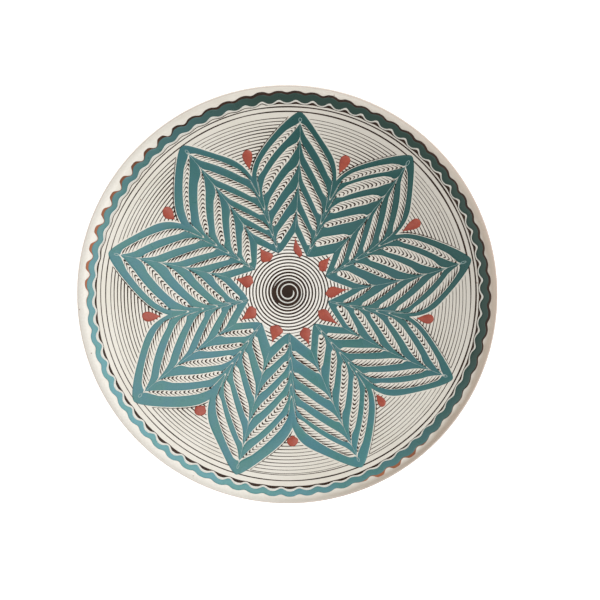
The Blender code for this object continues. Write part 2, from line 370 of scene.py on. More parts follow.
def valley_bearing(valley, radius):
    """Bearing of a valley, which leans from its drop toward the star's inner corner."""
    top = valley_top(valley)
    share = (top - radius) / (top - VALLEY_FOOT_RADIUS)
    return mix(OUTER_TAILS[valley][1], VALLEY_FOOT_BEARINGS[valley], np.clip(share, -0.6, 1.0))


def flank_bearing(petal, side, share, radius):
    """Bearing at a share of the way from a petal's spine to the valley on one side of it."""
    spine = spine_bearing(petal, radius)
    valley = valley_bearing(petal if side == RIGHT else petal - 1, radius)
    valley = valley + 360.0 * np.round((spine - valley) / 360.0)
    return mix(spine, valley, share)


def line_radius(turn, bearing):
    """Radius of the underlying spiral line on its numbered turn."""
    return LINE_START + LINE_PITCH * (turn + bearing / 360.0)


# ---- Strips of slip -----------------------------------------------------------------

def strip(first, second, rise, section=BAND_SECTION, closed=False, base=COAT_TOP):
    """A low strip of slip between a left and a right edge of (x, y) points."""
    rise = np.broadcast_to(rise, len(first))
    layers = []
    for share, lift in section:
        plan = mix(first, second, share)
        above = base + lift * rise if lift else base - SINK
        layers.append(np.column_stack((plan, surface_height(lathe_radius(plan), above))))
    points = np.stack(layers, axis=1)
    return points.reshape(-1, 3), tube_faces(*points.shape[:2], closed)


def tube_faces(stations, across, closed):
    """Quads that join each station's loop of points to the next, with caps on open ends."""
    station = np.arange(stations if closed else stations - 1)[:, None]
    point = np.arange(across)[None, :]
    here, there = station * across, (station + 1) % stations * across
    after = (point + 1) % across
    quads = np.stack((here + point, here + after, there + after, there + point), axis=-1).reshape(-1, 4)
    if closed:
        return quads
    pair = np.arange(across // 2 - 1)
    start = np.stack((pair, across - 1 - pair, across - 2 - pair, pair + 1), axis=-1)
    end = start[:, ::-1] + (stations - 1) * across
    return np.concatenate((quads, start, end))


def ribbon(path, widths, rise=LINE_RISE, closed=False, base=COAT_TOP):
    """A thin trail of slip along a path of (x, y) points."""
    step = np.roll(path, -1, axis=0) - np.roll(path, 1, axis=0) if closed else np.gradient(path, axis=0)
    step = step / np.maximum(np.linalg.norm(step, axis=1, keepdims=True), 1e-9)
    left = np.stack((-step[:, 1], step[:, 0]), axis=1) * (np.broadcast_to(widths, len(path)) / 2)[:, None]
    return strip(path + left, path - left, rise, LINE_SECTION, closed, base)


def put(name, data):
    """A new object in the scene."""
    made = bpy.data.objects.new(name, data)
    bpy.context.scene.collection.objects.link(made)
    return made


def piece(name, parts, material, stands_for=()):
    """One object from its parts' points and quads; it rides on the plate's only body."""
    points = np.concatenate([part[0] for part in parts])
    starts = np.cumsum([0] + [len(part[0]) for part in parts[:-1]])
    faces = np.concatenate([part[1] + start for part, start in zip(parts, starts)])
    mesh = bpy.data.meshes.new(name)
    mesh.from_pydata((points * MM).tolist(), [], faces.tolist())
    mesh.shade_smooth()
    mesh.set_sharp_from_angle(angle=math.radians(60))
    mesh.materials.append(material)
    made = put(name, mesh)
    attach(made, "root")
    if stands_for:
        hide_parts(*stands_for)


# ---- The clay and its coat ----------------------------------------------------------

LATHE_STEPS = 288
FACE_STEPS = 40
LIP_STEPS = 14
UNDER_STEPS = 60
NEAR_AXIS = 0.4
COAT_BOTTOM = 0.05


def face_profile(above):
    """The face from the axis to the lip, moved along its normal."""
    radius = LIP_START * np.arange(1, FACE_STEPS) / FACE_STEPS
    tilt = np.arctan(face_slope(radius))
    return np.column_stack((radius - above * np.sin(tilt), face_height(radius) + above * np.cos(tilt)))


def lip_profile(above, end_angle):
    """The rounded lip, from the end of the face over to this angle."""
    angle = np.linspace(math.pi / 2 + LIP_TILT, end_angle, LIP_STEPS + 1)
    reach = LIP_RADIUS + above
    return np.column_stack((LIP_CENTRE[0] + reach * np.cos(angle), LIP_CENTRE[1] + reach * np.sin(angle)))


def under_height(radius):
    """Height of the outside of the wall at this radius."""
    return face_height(radius) - WALL * np.hypot(1.0, face_slope(radius))


def under_profile():
    """The outside of the wall, with the soft ridges that turning leaves, from lip to foot."""
    radius = np.linspace(LIP_START, FOOT_OUTER + FOOT_TAPER, UNDER_STEPS)[1:]
    ridge = 0.16 * np.sin(radius * 1.55) + 0.1 * np.sin(radius * 0.61 + 1.0)
    fade = smooth((LIP_START - radius) / 8.0) * smooth((radius - FOOT_OUTER - FOOT_TAPER) / 4.0)
    return np.column_stack((radius, under_height(radius) - ridge * fade))


def foot_profile():
    """The foot ring with rounded edges, then the recess inside it back to the axis."""
    outside = (
        (FOOT_OUTER + 0.5, 4.5),
        (FOOT_OUTER, 1.6),
        (FOOT_OUTER - 0.2, 0.6),
        (FOOT_OUTER - FOOT_EDGE, 0.0),
    )
    inside = (
        (FOOT_INNER + FOOT_EDGE, 0.0),
        (FOOT_INNER + 0.2, 0.6),
        (FOOT_INNER, 1.6),
        (FOOT_INNER - 0.5, 3.2),
    )
    radius = np.linspace(FOOT_INNER - FOOT_TAPER, 0.8, 36)
    ridge = 0.12 * np.sin(radius * 1.3) * smooth((FOOT_INNER - FOOT_TAPER - radius) / 3.0)
    recess = np.column_stack((radius, under_height(radius) + ridge))
    return np.concatenate((outside, inside, recess))


def turned(profile):
    """A closed loop of (radius, height) points turned round the axis, with the lip off centre."""
    bearing = np.radians(np.arange(LATHE_STEPS) * 360.0 / LATHE_STEPS)[:, None]
    radius, height = profile[:, 0][None, :], profile[:, 1][None, :]
    radius = radius + lip_shift(radius, bearing)
    points = np.stack((radius * np.sin(bearing), radius * np.cos(bearing), height + 0.0 * bearing), axis=-1)
    return points.reshape(-1, 3), tube_faces(LATHE_STEPS, len(profile), True)


def clay_body(material):
    profile = np.concatenate((
        ((NEAR_AXIS, FACE_CENTRE),),
        face_profile(0.0),
        lip_profile(0.0, LIP_TILT - math.pi / 2),
        under_profile(),
        foot_profile(),
        ((NEAR_AXIS, FOOT_RECESS),),
    ))
    piece("thrown_clay_body", [turned(profile[::-1])], material, ("clay_body",))


def coat_profile(above):
    """One side of the coat, this far above the clay, from the axis out and over the lip."""
    middle = ((NEAR_AXIS, FACE_CENTRE + above),)
    return np.concatenate((middle, face_profile(above), lip_profile(above, math.radians(COAT_END_ANGLE))))


def cream_coat(material):
    profile = np.concatenate((coat_profile(COAT_TOP), coat_profile(COAT_BOTTOM)[::-1]))
    piece("cream_coat", [turned(profile[::-1])], material, ("cream_slip",))


# ---- The star -----------------------------------------------------------------------

# Shares of the way along a flank, from the petal's spine to the valley, closer at the ends
SHARES = 0.5 - 0.5 * np.cos(np.linspace(0.0, math.pi, FLANK_STEPS + 1))


def sagging(share, sag):
    """1 on the spine to 0 in the valley, below the straight run by the sag at its middle."""
    return 1.0 - share - 4.0 * sag * share * (1.0 - share)


def lens_place(petal, side, number):
    """A lens's radii at the spine and in the valley, its width and its sag, before any blending."""
    at_spine, in_valley, width, sag = LENS_TABLES[side][number]
    shift = LENS_SHIFTS[side][petal % PETALS] * SHIFT_SHARES[number]
    return at_spine + shift, in_valley + shift, width, sag


def lens_edges(petal, side, number, shares=SHARES):
    """Radii of a lens's outer and inner edge along a petal's flank; number counts from 0.

    The two flanks of a petal meet on its spine, and those of two petals in the valley, where
    the needle drew all edges inwards into one trunk.
    """
    at_spine, in_valley, width, sag = lens_place(petal, side, number)
    draw = np.random.default_rng(100 * petal + 10 * number + (side == RIGHT))
    width *= draw.uniform(0.82, 1.18)
    middle = mix(in_valley, at_spine, sagging(shares, sag))
    shared = (at_spine + lens_place(petal, -side, number)[0]) / 2
    middle = middle + (shared - at_spine) * smooth(1.0 - shares / 0.12)
    pull = np.exp(-shares / PULL_REACH)
    middle = middle + SPINE_PULLS[number] * pull
    trunk = (in_valley + lens_place(petal + side, -side, number)[1]) / 2
    trunk -= TRUNK_PULL * (trunk - TRUNK_FOOT)
    middle = mix(middle, trunk, smooth((shares - TRUNK_START) / (1.0 - TRUNK_START)))
    start, swell, bluntness = LENS_HEADS[side]
    taper = np.clip((shares - start) / swell, 0.0, 1.0) ** bluntness
    end, shrink, sharpness = LENS_TAIL
    taper = taper * np.clip((end - shares) / shrink, 0.0, 1.0) ** sharpness
    trail = BAND_HAIRLINE * (1.0 + 4.0 * pull + 1.5 * np.exp((shares - 1.0) / PULL_REACH))
    half = np.maximum(width * taper, trail) / 2
    return middle + half, middle - half


def star_outline(petal, side, shares=SHARES):
    """Radii of the star's outer edge, with the petal's tip rounded."""
    valley = petal if side == RIGHT else petal - 1
    eased = np.hypot(shares, TIP_ROUNDING) - TIP_ROUNDING
    eased = eased / (math.hypot(1.0, TIP_ROUNDING) - TIP_ROUNDING)
    bulge = OUTLINE_BULGES[side] * eased**4 * (1.0 - eased)
    return mix(valley_top(valley), TIP_RADII[petal], 1.0 - eased + bulge)


def star_heart(petal, side, shares=SHARES):
    """Radii of the star's inner edge."""
    return mix(VALLEY_FOOT_RADIUS, HEART_RADII[petal], sagging(shares, HEART_SAGS[side]))


def band_edges(petal, side, band):
    """Radii of a teal band's outer and inner edge along one flank of a petal."""
    outer = star_outline(petal, side) if band == 0 else lens_edges(petal, side, band - 1)[1]
    inner = star_heart(petal, side) if band == LENSES else lens_edges(petal, side, band)[0]
    return outer, inner


def flank_points(petal, side, radii, shares=SHARES):
    """Points along a flank: radii at shares of the way from spine to valley."""
    return place(radii, flank_bearing(petal, side, shares, radii))


def star_band(band, material):
    """One teal band, all the way round: down each petal's far flank, up the next one's near flank."""
    outer, inner = [], []
    for petal in range(PETALS):
        following = (petal + 1) % PETALS
        for edge, chosen in ((outer, 0), (inner, 1)):
            edge.append(flank_points(petal, RIGHT, band_edges(petal, RIGHT, band)[chosen])[:-1])
            edge.append(flank_points(following, LEFT, band_edges(following, LEFT, band)[chosen])[:0:-1])
    part = strip(np.concatenate(outer), np.concatenate(inner), BAND_RISE, closed=True)
    piece(f"teal_band_{band + 1}", [part], material, (f"star_band_{band + 1}",))


def lens_stripe(petal, side, number, turn, draw):
    """One dark stripe of the underlying spiral, bent by the needle, or None where the lens is thin."""
    outer, inner = lens_edges(petal, side, number)
    middle_bearing = flank_bearing(petal, side, 0.5, inner.mean())
    base = line_radius(turn, middle_bearing % 360.0)
    shares_across, bends = STRIPE_PATHS[side]
    across = np.linspace(shares_across[0], shares_across[-1], STRIPE_POINTS)
    bend = np.interp(across, shares_across, bends) * draw.uniform(0.7, 1.2)
    kept = []
    for share, lift in zip(across, bend):
        level = mix(inner, outer, share)
        if level.min() < base + lift < level.max():
            found = np.interp(base + lift, level[::-1], SHARES[::-1])
            if np.interp(found, SHARES, outer - inner) > THINNEST_STRIPED:
                kept.append((share, base + lift, found))
    if len(kept) < 4:
        return None
    across, radii, places = np.array(kept).T
    weight = np.interp(base, *STRIPE_WIDTHS) * draw.uniform(0.8, 1.2)
    profile = 0.45 + 0.9 * np.exp(-(((across - STRIPE_APEXES[side]) / 0.22) ** 2))
    ends = smooth((across - across[0] + 0.05) / 0.1) * smooth((across[-1] - across + 0.05) / 0.1)
    return ribbon(flank_points(petal, side, radii, places), weight * profile * ends)


def petal_stripes(petal, material):
    """All the feathered stripes in one petal's ten lenses."""
    draw = np.random.default_rng(40 + petal)
    parts = []
    for side in (LEFT, RIGHT):
        for number in range(LENSES):
            outer, inner = lens_edges(petal, side, number)
            first = math.floor((inner.min() - LINE_START) / LINE_PITCH) - 1
            last = math.ceil((outer.max() - LINE_START) / LINE_PITCH) + 1
            for turn in range(first, last):
                stripe = lens_stripe(petal, side, number, turn, draw)
                if stripe is not None:
                    parts.append(stripe)
    piece(f"petal_{petal + 1}_stripes", parts, material)


def spine_line(petal, material):
    """The pale line that the needle left along a petal's spine, with its small loop at the tip."""
    draw = np.random.default_rng(60 + petal)
    radius = np.linspace(SPINE_FOOT_RADIUS + 1.0, TIP_RADII[petal] - 7.0, 60)
    sway = 0.12 * np.sin(radius * 0.35 + draw.uniform(0.0, 6.0))
    path = place(radius, spine_bearing(petal, radius)) + np.array((1.0, 0.0)) * sway[:, None]
    width = 0.24 + 0.08 * np.sin(radius * 0.8 + draw.uniform(0.0, 6.0))
    parts = [ribbon(path, width * smooth((radius - radius[0]) / 4.0) + 0.05, TRAIL_RISE, base=TEAL_TOP)]
    turn = np.linspace(0.0, math.tau, 24, endpoint=False)
    loop_radius = TIP_RADII[petal] - 5.6 + draw.uniform(1.3, 2.0) * np.cos(turn)
    loop_side = draw.uniform(0.5, 1.0) * np.sin(turn)
    loop = place(loop_radius, spine_bearing(petal, loop_radius) + np.degrees(loop_side / loop_radius))
    parts.append(ribbon(loop, 0.5, TRAIL_RISE, closed=True, base=TEAL_TOP))
    piece(f"spine_line_{petal + 1}", parts, material)


def valley_streaks(valley, cream, brown):
    """Thin trails that the needle dragged inwards along a valley, from each lens's end."""
    draw = np.random.default_rng(80 + valley)
    pale, dark = [], []
    for petal, side in ((valley, RIGHT), ((valley + 1) % PETALS, LEFT)):
        for number in range(LENSES):
            outer, inner = lens_edges(petal, side, number)
            start = float(np.interp(0.9, SHARES, (outer + inner) / 2))
            length = draw.uniform(11.0, 17.0)
            stretch = np.linspace(0.0, 1.0, 18)
            radius = np.maximum(start - length * stretch, VALLEY_FOOT_RADIUS + 2.0 * stretch)
            share = 0.9 + (draw.uniform(0.975, 0.99) - 0.9) * stretch**0.6
            width = draw.uniform(0.25, 0.45) * (1.0 - stretch) ** 0.7 + 0.08
            pale.append(ribbon(flank_points(petal, side, radius, share), width, TRAIL_RISE, base=TEAL_TOP))
            if number > 1:
                shifted = flank_points(petal, side, radius - 1.5, share + 0.008)
                dark.append(ribbon(shifted, width * 0.6, 0.05, base=TEAL_TOP))
    piece(f"valley_streaks_{valley + 1}", pale, cream)
    piece(f"valley_drag_lines_{valley + 1}", dark, brown)


def crossing(radii, level, shares=SHARES):
    """Share along a flank at which an edge's radius falls to this level."""
    return np.interp(level, radii[::-1], shares[::-1])


def arc_between(petal, side, edge, radius, gap):
    """Bearing at this radius, a gap away from a flank's edge, on the side away from the spine."""
    share = crossing(edge, radius)
    return flank_bearing(petal, side, share, radius) + side * np.degrees(gap / radius)


def field_line(valley, turn, draw):
    """One line across the field between two petals, hooked inwards where it meets the second."""
    following = (valley + 1) % PETALS
    leaving, meeting = star_outline(valley, RIGHT), star_outline(following, LEFT)
    radius = line_radius(turn, valley_bearing(valley, 100.0) % 360.0)
    top = RING_LINE_2[0] - RING_LINE_2[1] - 0.6
    if not valley_top(valley) + 1.6 < radius < top:
        return None
    start = arc_between(valley, RIGHT, leaving, radius, FIELD_MARGIN)
    end = arc_between(following, LEFT, meeting, radius, FIELD_MARGIN)
    end += 360.0 * round((start - end) / 360.0 + 0.02)
    if end < start + math.degrees(1.2 / radius):
        return None
    bearing = np.linspace(start, end, 40)
    slope = LINE_PITCH * (bearing - bearing.mean()) / 360.0
    across = place(radius + slope, bearing)
    down = np.linspace(0.25, 1.0, 7)
    depth = HOOK_DEPTH * draw.uniform(0.7, 1.25) * down
    hook_radius = np.maximum(radius - depth, valley_top(valley) + 0.6)
    hook_bearing = arc_between(following, LEFT, meeting, hook_radius, FIELD_MARGIN)
    path = np.concatenate((across, place(hook_radius, hook_bearing)))
    weight = np.interp(radius, *FIELD_WIDTHS) * draw.uniform(0.85, 1.15)
    weight *= 1.0 + 0.2 * math.cos(math.radians(valley_bearing(valley, radius) - FIELD_HEAVIER_SIDE))
    along = np.linspace(0.0, 1.0, len(across))
    widths = np.concatenate((weight * (0.75 + 0.5 * along**3), weight * np.linspace(1.1, 0.35, 7)))
    widths[0] *= 0.4
    return ribbon(path, widths)


def field_lines(valley, material):
    """The lines over the open field between one petal and the next."""
    draw = np.random.default_rng(120 + valley)
    turns = range(int((80.0 - LINE_START) / LINE_PITCH), int((126.0 - LINE_START) / LINE_PITCH) + 1)
    parts = [field_line(valley, turn, draw) for turn in turns]
    piece(f"field_lines_{valley + 1}", [part for part in parts if part is not None], material)


def heart_lines(material):
    """The spiral's turns that show inside the star's heart, between the bands and the drops."""
    parts = []
    for petal in range(PETALS):
        left, right = star_heart(petal, LEFT), star_heart(petal, RIGHT)
        for turn in range(7, 14):
            radius = line_radius(turn, spine_bearing(petal, 30.0) % 360.0)
            if not CENTRE_SPIRAL_END < radius < HEART_RADII[petal] - 2.5:
                continue
            start = arc_between(petal, LEFT, left, radius, -HEART_LINE_GAP)
            end = arc_between(petal, RIGHT, right, radius, -HEART_LINE_GAP)
            bearing = np.linspace(start, end, 16)
            widths = np.full(len(bearing), HEART_LINE_WIDTH)
            widths[[0, -1]] = 0.6
            parts.append(ribbon(place(radius + 0.0 * bearing, bearing), widths))
    piece("heart_lines", parts, material)


# ---- Red drops ----------------------------------------------------------------------

def drop(node, radius, bearing, middle, half, size, material):
    """A drop along these radii: how far its middle leans, and half its width, at each of them."""
    first = bearing + np.degrees((middle + half) / radius)
    second = bearing + np.degrees((middle - half) / radius)
    part = strip(place(radius, first), place(radius, second), DROP_RISE * (half / size) ** 0.6, DROP_SECTION)
    piece(f"red_{node}", [part], material, (node,))


def outer_drop(number, material):
    """A teardrop between two petals, its tail in the valley."""
    tail_radius, bearing = OUTER_TAILS[number]
    top, lean, size = OUTER_DROPS[number]
    length = top - tail_radius
    along = length * (0.5 - 0.5 * np.cos(np.linspace(0.02, math.pi, 40)))
    fallen = np.clip((along - size) / (length - size), 0.0, 1.0)
    head = np.sqrt(np.maximum(size**2 - np.minimum(along - size, 0.0) ** 2, 0.0))
    half = head * (1.0 - fallen) ** 1.4 * (1.0 + 1.4 * fallen) + 0.04
    radius = top - along
    middle = lean * (1.0 - along / length)
    drop(f"outer_drop_{number + 1}", radius, bearing, middle, half, size, material)


def inner_drop(number, material):
    """A teardrop under a petal's foot, pointing outwards, its round end leaning to one side."""
    bearing = INNER_TAILS[number][1]
    bottom, lean, size = INNER_DROPS[number]
    along = 0.5 - 0.5 * np.cos(np.linspace(0.02, math.pi - 0.02, 40))
    radius = mix(HEART_RADII[number] - 1.2, bottom, along)
    half = size * np.sin(math.pi * along**2.2) + 0.04
    middle = lean * along**1.3
    drop(f"inner_drop_{number + 1}", radius, bearing, middle, half, size, material)


# ---- The centre ---------------------------------------------------------------------

def spiral_path(start, pitch, turns, bearing, steps_per_turn=72):
    """Points along a spiral that runs outwards and clockwise."""
    steps = round(turns * steps_per_turn)
    turned_by = np.linspace(0.0, turns, steps + 1)
    return place(start + pitch * turned_by, bearing + 360.0 * turned_by)


def centre_pool(material):
    sweep = np.linspace(0.03, math.pi - 0.03, 48)
    along = -POOL_RADIUS * np.cos(sweep)
    half = POOL_RADIUS * np.sin(sweep)
    first = PAINT_CENTRE + np.column_stack((along, half))
    second = PAINT_CENTRE + np.column_stack((along, -half))
    part = strip(first, second, 0.24 * np.sin(sweep) ** 0.3, DROP_SECTION)
    piece("brown_pool", [part], material, ("centre_pool",))


def centre_curl(material):
    path = spiral_path(CURL_START, CURL_PITCH, CURL_TURNS, 60.0)
    along = np.linspace(0.0, 1.0, len(path))
    width = smooth(along / 0.04) * mix(1.15, 0.6, along) + 0.08
    part = ribbon(path, width, 0.14, base=COAT_TOP + 0.22)
    piece("cream_curl", [part], material, ("centre_curl",))


def centre_spiral(material):
    start = LINE_START + LINE_PITCH * CENTRE_SPIRAL_START
    turns = (CENTRE_SPIRAL_END - start) / LINE_PITCH
    path = spiral_path(start, LINE_PITCH, turns, 360.0 * CENTRE_SPIRAL_START)
    along = np.linspace(0.0, 1.0, len(path))
    width = mix(1.55, 1.02, smooth(along / 0.6)) + 0.12 * np.sin(along * 60.0) * np.sin(along * 23.0)
    part = ribbon(path, width * smooth((1.0 - along) / 0.04) + 0.05, 0.2)
    piece("brown_spiral_trail", [part], material, ("brown_spiral",))


# ---- The border ---------------------------------------------------------------------

ROUND = np.arange(WAVES * WAVE_STEPS) * 360.0 / (WAVES * WAVE_STEPS)


def wandering(radii):
    """A radius round the plate that passes through its values at the border's bearings."""
    return np.interp(ROUND, BORDER_BEARINGS, radii, period=360.0)


def around(mean, swing, bearing):
    """A value round the plate that is highest toward one bearing."""
    return mean + swing * np.cos(np.radians(ROUND - bearing))


def between(first, last, fade):
    """1 from the first bearing clockwise to the last, fading to 0 outside them."""
    middle, half = (first + last) / 2, (last - first) / 2
    away = np.abs((ROUND - middle + 180.0) % 360.0 - 180.0)
    return smooth((half + fade / 2 - away) / fade)


def border_wave(sharpness):
    """The comb's wave round the border: positive outwards, its crests pointed or round."""
    turned_by = np.radians(ROUND - 45.0)
    phase = np.radians(ROUND * WAVES) + 3.0 * np.sin(turned_by) + 1.1 * np.sin(2.0 * turned_by)
    swing = np.cos(phase) + sharpness * np.cos(2.0 * phase)
    return swing * (1.0 + 0.18 * wobble(ROUND, 6, (9, 16, 23)))


def border_radii():
    """Radii about the painter's centre of the teal border's outer and inner edges."""
    swell = OUTER_WAVE * (1.0 + 0.8 * between(275.0, 330.0, 20.0))
    outer = wandering(BORDER_OUTER) + 0.15 * wobble(ROUND, 8) + swell * border_wave(-0.18)
    swing = INNER_WAVE * (0.6 + 0.4 * (between(-10.0, 95.0, 40.0) + between(185.0, 265.0, 30.0)))
    inner = wandering(BORDER_INNER) + 0.2 * wobble(ROUND, 9) + swing * border_wave(around(0.0, 0.18, 45.0))
    return outer, inner


def closed_strip(first, second, rise, section, base=COAT_TOP):
    """A strip right round the plate, between two radii given all the way round."""
    return strip(place(first, ROUND), place(second, ROUND), rise, section, True, base)


def border_edge(outer, crest, material):
    """The slip that shows past the teal: a dark line on the right, rust crescents elsewhere."""
    dark = DARK_EDGE_WIDTH * between(-30.0, 114.0, 40.0) + 0.5 * between(-35.0, 0.0, 20.0)
    dark = dark * (1.0 + 0.3 * wobble(ROUND, 14, (9, 14, 31)))
    arcs = RUST_ARC_WIDTH * (between(272.0, 330.0, 12.0) + between(138.0, 156.0, 6.0))
    arcs = arcs * (0.2 + 0.8 * smooth(crest * 1.3))
    reach = outer + np.maximum(dark, arcs) - 0.1
    part = closed_strip(reach, outer - 0.6, 0.18, EDGE_SECTION, COAT_TOP - 0.05)
    piece("brown_edge_line", [part], material, ("border_edge_line",))


def cream_wave(inner, crest, material):
    """The cream hairline inside the teal wave; returns the radii of its own inner edge."""
    narrow = 1.0 - 0.35 * between(98.0, 165.0, 20.0)
    line = inner - CREAM_WAVE_WIDTH * narrow * around(1.1, 0.3, 225.0) * (0.8 + 0.35 * crest)
    part = closed_strip(inner - 0.05, line, 0.12, LINE_SECTION)
    piece("cream_wave_line", [part], material, ("border_cream_wave",))
    return line


def scallops(line, material):
    """Dark slip that fills the wave's hollows down to a base; it thins out at the upper left."""
    base = wandering(SCALLOP_BASE)
    filled = np.maximum(line, base + 0.05)
    dark_part = between(-5.0, 280.0, 16.0)
    depth = np.minimum(filled - base, SCALLOP_DEPTH * dark_part) + 0.35 * dark_part + 0.06
    part = closed_strip(filled, filled - depth, 0.1, LINE_SECTION, COAT_TOP - 0.02)
    piece("brown_scallops", [part], material, ("border_scallops",))


def border(brown, teal, cream, edge_finish):
    outer, inner = border_radii()
    crest = 0.5 + 0.5 * border_wave(0.0)
    border_edge(outer, crest, edge_finish)
    band = closed_strip(outer, inner, BAND_RISE, BAND_SECTION)
    piece("teal_wave_band", [band], teal, ("border_teal_wave",))
    scallops(cream_wave(inner, crest, cream), brown)


def echo_line(material):
    """A fine line that repeats the wave, flatter, inside one stretch of the border."""
    chosen = np.flatnonzero((ROUND > 276.0) & (ROUND < 353.0))
    radius = (wandering(SCALLOP_BASE) + 0.2 + ECHO_WAVE * border_wave(0.0))[chosen]
    along = np.linspace(0.0, 1.0, len(chosen))
    width = ECHO_LINE_WIDTH * smooth(along / 0.08) * smooth((1.0 - along) / 0.08) + 0.05
    piece("brown_echo_line", [ribbon(place(radius, ROUND[chosen]), width)], material)


def ring_line(number, circle, width, faint, material):
    """A thin brown ring inside the border, fainter by this share at its lower right."""
    seed = int(circle[0])
    wander = 0.2 * wobble(ROUND, seed) - 0.7 * between(296.0, 336.0, 30.0)
    uneven = 1.0 + 0.25 * wobble(ROUND, seed + 1, (7, 13, 19))
    widths = width * uneven * around(1.0, 0.3, 75.0) * (1.0 - faint * between(85.0, 195.0, 20.0))
    trail = ribbon(place(around(*circle) + wander, ROUND), widths, closed=True)
    piece(f"brown_ring_line_{number}", [trail], material, (f"ring_line_{number}",))


# ---- Materials ----------------------------------------------------------------------

class Shading:
    """A node material under construction, so that a finish reads as a formula."""

    def __init__(self, name):
        self.material = bpy.data.materials.new(name)
        self.material.use_nodes = True
        self.tree = self.material.node_tree
        self.shader = self.tree.nodes["Principled BSDF"]
        self.place = self.add("ShaderNodeTexCoord").outputs["Object"]

    def add(self, kind, inputs=None, **settings):
        made = self.tree.nodes.new(kind)
        for key, value in settings.items():
            setattr(made, key, value)
        for key, value in (inputs or {}).items():
            self.set(made.inputs[key], value)
        return made

    def set(self, socket, value):
        if isinstance(value, bpy.types.NodeSocket):
            self.tree.links.new(value, socket)
        else:
            socket.default_value = value

    def noise(self, size, detail=3.0):
        """Noise with features this many millimetres across."""
        inputs = {"Vector": self.place, "Scale": 1.0 / (size * MM), "Detail": detail}
        return self.add("ShaderNodeTexNoise", inputs).outputs["Fac"]

    def spots(self, size, reach):
        """1 inside round spots about this many millimetres apart, 0 outside them."""
        cells = self.add("ShaderNodeTexVoronoi", {"Vector": self.place, "Scale": 1.0 / (size * MM)})
        return self.steps(cells.outputs["Distance"], (reach, 1.0), (reach * 1.6, 0.0))

    def steps(self, value, first, last):
        """Maps a value from its first (value, result) pair to its last, and no further."""
        made = self.add("ShaderNodeMapRange", {"Value": value})
        for end, (position, result) in (("Min", first), ("Max", last)):
            made.inputs["From " + end].default_value = position
            made.inputs["To " + end].default_value = result
        return made.outputs["Result"]

    def mix(self, share, first, second):
        """A share of the second colour over the first."""
        made = self.add("ShaderNodeMix", {0: share}, data_type="RGBA")
        for socket, colour in ((made.inputs[6], first), (made.inputs[7], second)):
            self.set(socket, colour if isinstance(colour, bpy.types.NodeSocket) else (*colour, 1.0))
        return made.outputs[2]

    def maths(self, operation, first, second=0.0):
        return self.add("ShaderNodeMath", {0: first, 1: second}, operation=operation).outputs[0]

    def vectors(self, operation, first, second=(0.0, 0.0, 0.0)):
        return self.add("ShaderNodeVectorMath", {0: first, 1: second}, operation=operation).outputs

    def from_axis(self):
        """Distance from the dish's axis, in metres."""
        flat = self.vectors("MULTIPLY", self.place, (1.0, 1.0, 0.0))["Vector"]
        return self.vectors("LENGTH", flat)["Value"]

    def from_lip_middle(self):
        """Distance from the middle of the lip's own circle, in metres."""
        away = self.maths("MULTIPLY", self.toward(LIP_SIDE), LIP_OFFSET / PLATE_RADIUS)
        return self.maths("SUBTRACT", self.from_axis(), away)

    def toward(self, bearing):
        """How far a point lies from the axis toward this bearing, in metres."""
        angle = math.radians(bearing)
        way = (math.sin(angle), math.cos(angle), 0.0)
        return self.vectors("DOT_PRODUCT", self.place, way)["Value"]

    def bump(self, height, depth):
        """Surface relief of this many millimetres."""
        made = self.add("ShaderNodeBump", {"Height": height, "Distance": depth * MM, "Strength": 1.0})
        return made.outputs["Normal"]

    def finish(self, colour, roughness, normal, coat=0.0):
        """The finished material; the clear glaze on it is a coat of this weight."""
        self.set(self.shader.inputs["Base Color"], colour)
        self.set(self.shader.inputs["Roughness"], roughness)
        self.set(self.shader.inputs["Normal"], normal)
        self.shader.inputs["Coat Weight"].default_value = coat
        self.shader.inputs["Specular IOR Level"].default_value = 0.2 + 0.6 * coat
        self.shader.inputs["Coat Roughness"].default_value = 0.12
        return self.material


def glazed_slip(name, base, shade, patch_size, painted_shade_or_rust=None, bearing=0.0, turns=(0.0, 1.0), coat=0.5):
    """A painted slip under clear glaze: two shades, fine mottling, pinholes and a soft wave.

    The painted shade or rust colour, if there is one, takes over toward a bearing, between two distances: on
    the teal slips it is painted shade, on the edge line it is the slip's own rust.
    """
    make = Shading(name)
    patches = make.steps(make.noise(patch_size, 4.0), (0.35, 0.0), (0.65, 1.0))
    fine = make.steps(make.noise(0.9, 5.0), (0.3, 0.0), (0.75, 0.55))
    colour = make.mix(patches, base, shade)
    colour = make.mix(fine, colour, tuple(0.72 * part for part in shade))
    # A second colour mixed in toward one bearing: painted shade on the teals, real rust on the edge line.
    if painted_shade_or_rust:
        share = make.steps(make.toward(bearing), (turns[0] * MM, 0.0), (turns[1] * MM, 1.0))
        colour = make.mix(share, colour, painted_shade_or_rust)
    waves = make.noise(5.0, 2.0)
    pits = make.spots(4.0, 0.03)
    height = make.maths("SUBTRACT", waves, make.maths("MULTIPLY", pits, 0.8))
    roughness = make.steps(make.noise(14.0), (0.3, 0.24), (0.7, 0.36))
    return make.finish(colour, roughness, make.bump(height, 0.12), coat)


